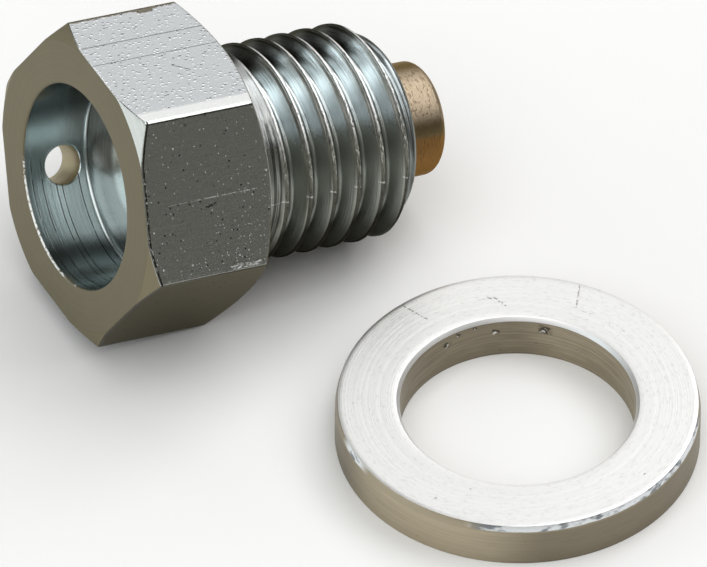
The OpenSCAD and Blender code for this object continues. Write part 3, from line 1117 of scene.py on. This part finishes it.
def washer_section(sizes):
    """Section of the washer from the bore's foot over its top to the rim's foot, with finish numbers."""
    hole = sizes.hole / MM
    rim = sizes.radius / MM
    thick = sizes.thickness / MM
    high = sizes.rim_chamfer_height / MM
    bore = thick - sizes.hole_chamfer_height / MM
    inner = hole + sizes.hole_chamfer / MM
    outer = rim - sizes.rim_chamfer / MM
    soft = 0.03
    foot = 0.6
    bore_top = [(hole + 0.02, bore + 0.024), (inner - soft, thick - 0.04)]
    bore_top += [(inner, thick - 0.008), (inner + soft, thick)]
    top = evenly((inner + soft, thick), (outer - 0.016, thick), 12) + [(outer - 0.004, thick - 0.005)]
    rim_top = [(outer + 0.006, thick - 0.025), (outer + 0.05, thick - 0.2)]
    rim_top += [(rim - 0.008, thick - high + 0.02)]
    rim_foot = [(rim - 0.008, 0.008), (rim - soft, 0.0), (rim - foot, 0.0)]
    runs = [
        ([(hole + foot, 0.0), (hole + soft, 0.0), (hole + 0.008, 0.008), (hole, soft)], RING_EDGE),
        (evenly((hole, soft), (hole, bore - soft), 6) + [(hole + 0.006, bore)], RING_EDGE),
        (bore_top, RING_CHAMFER),
        (top, RING_FACE),
        (rim_top, RING_CHAMFER),
        ([(rim, thick - high - soft)], RING_EDGE),
        (evenly((rim, thick - high - soft), (rim, soft), 6) + rim_foot, RING_EDGE),
        (evenly((rim - foot, 0.0), (hole + foot, 0.0), 6), RING_FACE),
    ]
    section = [point for points, _ in runs for point in points]
    finish = [number for points, number in runs for _ in points]
    return section, finish


def build_washer(context):
    """The sealing washer lying on the floor."""
    sizes = context.scene.drain_plug_washer
    section, finish = washer_section(sizes)
    angles = even_angles(WASHER_TURNS)
    ring = np.array(section) * MM
    x = ring[:, :1] * np.cos(angles)[None, :]
    y = ring[:, :1] * np.sin(angles)[None, :]
    z = np.broadcast_to(ring[:, 1:], x.shape)
    points = np.stack([x, y, z], axis=-1).reshape(-1, 3) + np.array(WASHER_PLACE)
    quads = grid_faces(len(section), WASHER_TURNS)
    faces = [(quad, finish[row + 1]) for row in range(len(section) - 1) for quad in quads[row]]
    looks = context.scene.drain_plug_finishes
    face = washer_face_finish(list(looks.washer_face))
    edge = shaded_washer_edge_finish(list(looks.shaded_washer_edge), sizes.hole / MM)
    chamfer = washer_chamfer_finish(list(looks.shaded_washer_edge), sizes.hole / MM)
    add_piece("sealing_ring", points, faces, [face, edge, chamfer], "sealing_washer")


def add_softbox(name, towards, distance, width, height, bright, tint):
    """A rectangular lamp that looks at the part from a direction."""
    lamp = bpy.data.lights.new(name, "AREA")
    lamp.shape = "RECTANGLE"
    lamp.size = width
    lamp.size_y = height
    lamp.energy = bright * math.pi * width * height
    lamp.color = tint
    box = bpy.data.objects.new(name, lamp)
    way = Vector(towards).normalized()
    box.location = way * distance
    box.rotation_euler = way.to_track_quat("Z", "Y").to_euler()
    box.visible_camera = False
    bpy.context.scene.collection.objects.link(box)


# Width of the camera's sensor in millimetres, and its focal length and picture width in pixels.
SENSOR_WIDTH = 36
FOCAL_PIXELS = 18000
PICTURE_PIXELS = 707


def add_camera():
    """The camera of the picture: a long lens from the left, above the part."""
    turn = math.radians(-28.568)
    rise = math.radians(43.602)
    roll = math.radians(0.585)
    right = Vector((math.cos(turn), math.sin(turn), 0))
    back = Vector((math.sin(turn) * math.cos(rise), -math.cos(turn) * math.cos(rise), math.sin(rise)))
    over = back.cross(right)
    side = right * math.cos(roll) + over * math.sin(roll)
    top = over * math.cos(roll) - right * math.sin(roll)
    lens = bpy.data.cameras.new("picture_camera")
    lens.sensor_fit = "HORIZONTAL"
    lens.sensor_width = SENSOR_WIDTH
    lens.lens = SENSOR_WIDTH * FOCAL_PIXELS / PICTURE_PIXELS
    camera = bpy.data.objects.new("picture_camera", lens)
    stand = Vector((-0.280646, -0.514045, 0.562011))
    camera.matrix_world = Matrix.Translation(stand) @ Matrix((side, top, back)).transposed().to_4x4()
    bpy.context.scene.collection.objects.link(camera)
    bpy.context.scene.camera = camera


def build_studio(context):
    """Pale floor, softboxes, dim room and camera."""
    sizes = context.scene.drain_plug_studio
    reach = 1.5
    mesh = bpy.data.meshes.new("studio_floor")
    corners = [(-reach, -reach, 0), (reach, -reach, 0), (reach, reach, 0), (-reach, reach, 0)]
    mesh.from_pydata(corners, [], [(0, 1, 2, 3)])
    mesh.materials.append(floor_finish(list(sizes.floor)))
    floor = bpy.data.objects.new("studio_floor", mesh)
    context.scene.collection.objects.link(floor)
    white = (1.0, 1.0, 1.0)
    add_softbox("key_softbox", (0.34, 0.48, 0.42), 0.75, 0.95, 0.5, sizes.key, white)
    add_softbox("high_softbox", (0.5, 0.12, 0.85), 0.65, 0.5, 0.45, sizes.high, white)
    add_softbox("right_softbox", (0.613, -0.398, 0.682), 0.65, 0.32, 0.28, sizes.right, white)
    add_softbox("overhead_softbox", (-0.22, -0.18, 0.58), 0.62, 0.68, 0.8, sizes.overhead, white)
    add_softbox("side_window", (-0.88, 0.37, 0.28), 0.65, 0.76, 0.34, sizes.side, tuple(sizes.window))
    room = bpy.data.worlds.new("dim_room")
    room.use_nodes = True
    room.node_tree.nodes["Background"].inputs["Color"].default_value = (*sizes.surround, 1.0)
    context.scene.world = room
    context.scene.view_settings.view_transform = "Standard"
    add_camera()


class PlugOperator:
    """What the building operators share."""

    bl_options = {"REGISTER", "UNDO"}


class MESH_OT_hexagon_head(PlugOperator, bpy.types.Operator):
    """Build the hollow hexagon head with its wire hole"""

    bl_idname = "mesh.drain_plug_head"
    bl_label = "Hexagon head"

    def execute(self, context):
        build_head(context)
        return {"FINISHED"}


class MESH_OT_threaded_shank(PlugOperator, bpy.types.Operator):
    """Build the threaded shank"""

    bl_idname = "mesh.drain_plug_shank"
    bl_label = "Threaded shank"

    def execute(self, context):
        build_shank(context)
        return {"FINISHED"}


class MESH_OT_magnet_slug(PlugOperator, bpy.types.Operator):
    """Build the magnet slug in the shank's end"""

    bl_idname = "mesh.drain_plug_magnet"
    bl_label = "Magnet slug"

    def execute(self, context):
        build_magnet(context)
        return {"FINISHED"}


class MESH_OT_sealing_ring(PlugOperator, bpy.types.Operator):
    """Build the sealing washer"""

    bl_idname = "mesh.drain_plug_washer"
    bl_label = "Sealing washer"

    def execute(self, context):
        build_washer(context)
        return {"FINISHED"}


class SCENE_OT_plug_studio(PlugOperator, bpy.types.Operator):
    """Build the floor, the light and the camera"""

    bl_idname = "scene.drain_plug_studio"
    bl_label = "Studio"

    def execute(self, context):
        build_studio(context)
        return {"FINISHED"}


class VIEW3D_PT_drain_plug(bpy.types.Panel):
    """Lists the operators that build the part"""

    bl_label = "Drain plug"
    bl_idname = "VIEW3D_PT_drain_plug"
    bl_space_type = "VIEW_3D"
    bl_region_type = "UI"
    bl_category = "Drain plug"

    def draw(self, context):
        for operator in OPERATORS:
            self.layout.operator(operator.bl_idname)


OPERATORS = (
    MESH_OT_hexagon_head,
    MESH_OT_threaded_shank,
    MESH_OT_magnet_slug,
    MESH_OT_sealing_ring,
    SCENE_OT_plug_studio,
)
GROUPS = {
    "drain_plug_head": HeadSizes,
    "drain_plug_shank": ShankSizes,
    "drain_plug_magnet": MagnetSizes,
    "drain_plug_washer": WasherSizes,
    "drain_plug_finishes": Finishes,
    "drain_plug_studio": StudioSizes,
}


def register():
    """Registers the classes and hangs the sizes on the scene."""
    for name, group in GROUPS.items():
        bpy.utils.register_class(group)
        setattr(bpy.types.Scene, name, bpy.props.PointerProperty(type=group))
    for operator in OPERATORS:
        bpy.utils.register_class(operator)
    bpy.utils.register_class(VIEW3D_PT_drain_plug)


def unregister():
    """Takes the classes and the sizes off again."""
    bpy.utils.unregister_class(VIEW3D_PT_drain_plug)
    for operator in reversed(OPERATORS):
        bpy.utils.unregister_class(operator)
    for name, group in GROUPS.items():
        delattr(bpy.types.Scene, name)
        bpy.utils.unregister_class(group)


def main():
    """Builds the part and the studio."""
    register()
    bpy.ops.mesh.drain_plug_head()
    bpy.ops.mesh.drain_plug_shank()
    bpy.ops.mesh.drain_plug_magnet()
    bpy.ops.mesh.drain_plug_washer()
    bpy.ops.scene.drain_plug_studio()


if __name__ == "__main__":
    main()
